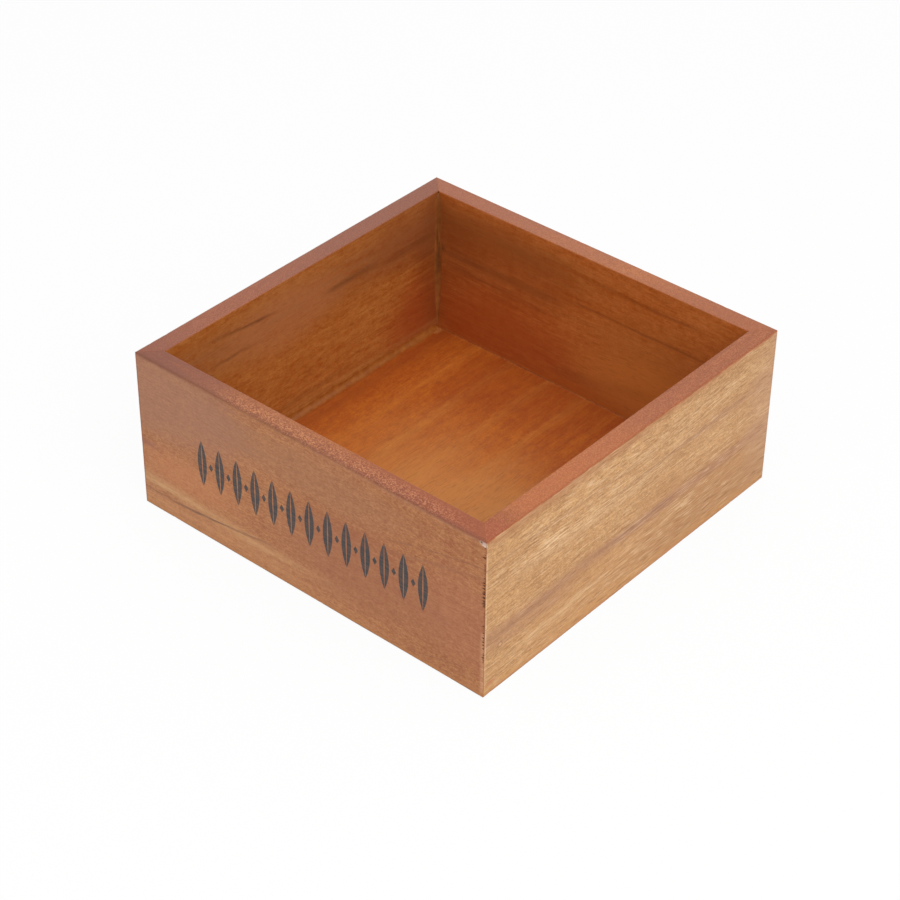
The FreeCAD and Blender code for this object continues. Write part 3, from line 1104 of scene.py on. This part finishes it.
LOOKS = {
    "front": dict(
        seed=4.0, printed=True, speckled_from=-44.0, pore_length=5.0, marks=FRONT_MARKS,
        rim_edge=("64341c", 0.62, 4.2),
        pores=dict(
            pale="c89070", dark="803f10", pale_strength=(0.12, 0), dark_strength=(0.22, 0.22)),
        grain={OUT: dict(figure=0.3, ripple=0.4, fibres=0.55, fine=2.3)},
        tones={OUT: ("934901", "ba7a41"), IN: ("954b0e", "b4733b"), RIM: ("833e0f", "ac6634")}),
    "right": dict(
        seed=21.0, pore_length=9.0, speckle=0.26, marks=RIGHT_MARKS,
        rim_edge=("843a12", 0.8, 1.7),
        pores=dict(
            pale="eccca4", dark="804e1e", pale_strength=(0.36, 0), dark_strength=(0.46, 0.22)),
        grain={OUT: dict(fine=2.4, fibres=1.1, stipple=0.6),
               RIM: dict(fibres=1.2, streaks=0.5, stipple=0.2, fine=1.3)},
        tones={OUT: ("a67135", "ce9c62"), IN: ("954b0e", "b4733b"), RIM: ("88441d", "a55c32")}),
    "back": dict(
        seed=37.0, marks=BACK_MARKS,
        grain={OUT: dict(figure=0.9, streaks=0.9), IN: dict(figure=0.5)},
        rim_edge=("6a4438", 0.6, 1.3),
        tones={OUT: ("8e4901", "b87a4c"), IN: ("a24c01", "ca7b3d"), RIM: ("9a5527", "ba7040")}),
    "left": dict(
        seed=55.0, marks=LEFT_MARKS,
        grain={OUT: dict(figure=0.8, streaks=0.9), IN: dict(fine=1.2, fibres=0.8, streaks=0.7)},
        rim_edge=("6a4438", 0.6, 1.3),
        tones={OUT: ("99673b", "bb8a5d"), IN: ("954801", "b97738"), RIM: ("814120", "9d5a3d")}),
}
FLOOR_LOOK = dict(
    seed=71.0, marks=FLOOR_MARKS, pores=dict(dark_strength=(0.25, 0.26)),
    grain=dict(figure=0.45, cloud=0.3, fibres=0.9, streaks=0.7, fine=1.2),
    tones=("953a01", "be6918"))

for turns, side in enumerate(SIDES):
    material = wood(side + "_board_wood", turns, LOOKS[side])
    if side == "front":
        mesh = board_mesh(turns, front_tear_out, SPLINTER_ROWS)
    else:
        mesh = board_mesh(turns, plain_tear_out(turns))
    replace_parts(piece(side + "_board", mesh, material), side + "_wall")

panel_wood = floor_wood("bottom_board_wood", FLOOR_LOOK)
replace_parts(piece("bottom_board", panel_mesh(), panel_wood), "bottom_panel")

corner_filler = filler_material("corner_filler", "84491a", "985a24", crease="4a2608")
pale_filler = filler_material("pale_filler", "8a4911", "9e5b1a")
dark_filler = filler_material("dark_filler", "783a10", "9c5824")
UPRIGHT_LEGS = {"back_left": 2.5, "front_left": 0.8, "front_right": 0.8, "back_right": 0.9}
FOOT_LEGS = {"left": 2.8, "front": 0.5, "right": 0.5, "back": 0.4}
for turns, (corner, leg) in enumerate(UPRIGHT_LEGS.items()):
    mesh = upright_bead(turns, leg, 3.0 + turns)
    piece("corner_filler_" + corner, mesh, corner_filler)
for turns, (side, leg) in enumerate(FOOT_LEGS.items()):
    filler = pale_filler if side == "left" else dark_filler
    piece("foot_filler_" + side, foot_bead(turns, leg, 13.0 + turns), filler)

steel = steel_material()
for name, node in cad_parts.items():
    if name.startswith(("corner_pins", "bottom_brads")):
        for material_slot in node.material_slots:
            material_slot.material = steel


# ---- stage, lights and camera ----

def seen_plainly(graph):
    """1 for the camera's rays, and for those that metal and glass pass on."""
    rays = graph.add("LightPath").outputs
    seen = Field(graph, rays["Is Camera Ray"]).most(rays["Is Glossy Ray"])
    return seen.most(rays["Is Transmission Ray"])


def stage_floor():
    """Pale floor that the camera sees as white, except where the box shades it."""
    graph = Graph(bpy.data.materials.new("studio_white"))
    paper = graph.add("BsdfDiffuse", {"Color": (0.82, 0.82, 0.82, 1)})
    white = graph.add("Emission", {"Strength": 1.0})
    blend = graph.add("MixShader", {
        0: seen_plainly(graph) * 0.94, 1: paper.outputs[0], 2: white.outputs[0]})
    material = graph.output("OutputMaterial", blend.outputs[0])

    mesh = bmesh.new()
    bmesh.ops.create_circle(mesh, cap_ends=True, segments=96, radius=FLOOR_RADIUS)
    floor = made_object("studio_floor", mesh, material)
    floor.location.z = -FLOOR_DROP


def studio_world(level):
    """Even light from all round, seen as plain white."""
    world = bpy.data.worlds.new("studio")
    scene.world = world
    graph = Graph(world)
    strength = seen_plainly(graph) * (1 - level) + level
    background = graph.add("Background", {"Color": (1, 1, 1, 1), "Strength": strength})
    graph.output("OutputWorld", background.outputs[0])


def direction(azimuth, elevation):
    """Unit vector away from the box, in degrees, with azimuth from the front to the right."""
    a, e = math.radians(azimuth), math.radians(elevation)
    return Vector((math.sin(a) * math.cos(e), -math.cos(a) * math.cos(e), math.sin(e)))


def softbox(name, azimuth, elevation, size, level):
    """Square lamp that faces the box. At level 1 it alone would show white as white."""
    lamp = bpy.data.lights.new(name, "AREA")
    lamp.shape = "SQUARE"
    lamp.size = size
    lamp.energy = level * math.pi * math.pi * LAMP_DISTANCE ** 2
    made = bpy.data.objects.new(name, lamp)
    back = direction(azimuth, elevation)
    made.location = back * LAMP_DISTANCE + Vector((0, 0, HEIGHT / 2 * MM))
    made.rotation_euler = (-back).to_track_quat("-Z", "Y").to_euler()
    scene.collection.objects.link(made)


def photo_camera():
    """The photograph's viewpoint, for a 900 by 900 frame."""
    back = direction(AZIMUTH, ELEVATION)
    level_right = Vector((0, 0, 1)).cross(back).normalized()
    level_up = back.cross(level_right)
    right = level_right * math.cos(ROLL) + level_up * math.sin(ROLL)
    up = level_up * math.cos(ROLL) - level_right * math.sin(ROLL)
    place = back * DISTANCE + right * AIM_ACROSS + up * AIM_UP
    data = bpy.data.cameras.new("photo_camera")
    data.sensor_width = SENSOR
    data.lens = FOCAL_PIXELS / FRAME_PIXELS * SENSOR
    camera = bpy.data.objects.new("photo_camera", data)
    turn = Matrix((right, up, back)).transposed().to_4x4()
    camera.matrix_world = Matrix.Translation(place) @ turn
    scene.collection.objects.link(camera)
    scene.camera = camera


stage_floor()
studio_world(0.55)
# Azimuth and elevation in degrees, size in metres, level.
softbox("key", 75, 42, 0.9, 0.55)
softbox("front_fill", -10, 35, 1.0, 0.12)
softbox("overhead", 0, 88, 1.0, 0.25)
photo_camera()
scene.view_settings.view_transform = "Standard"
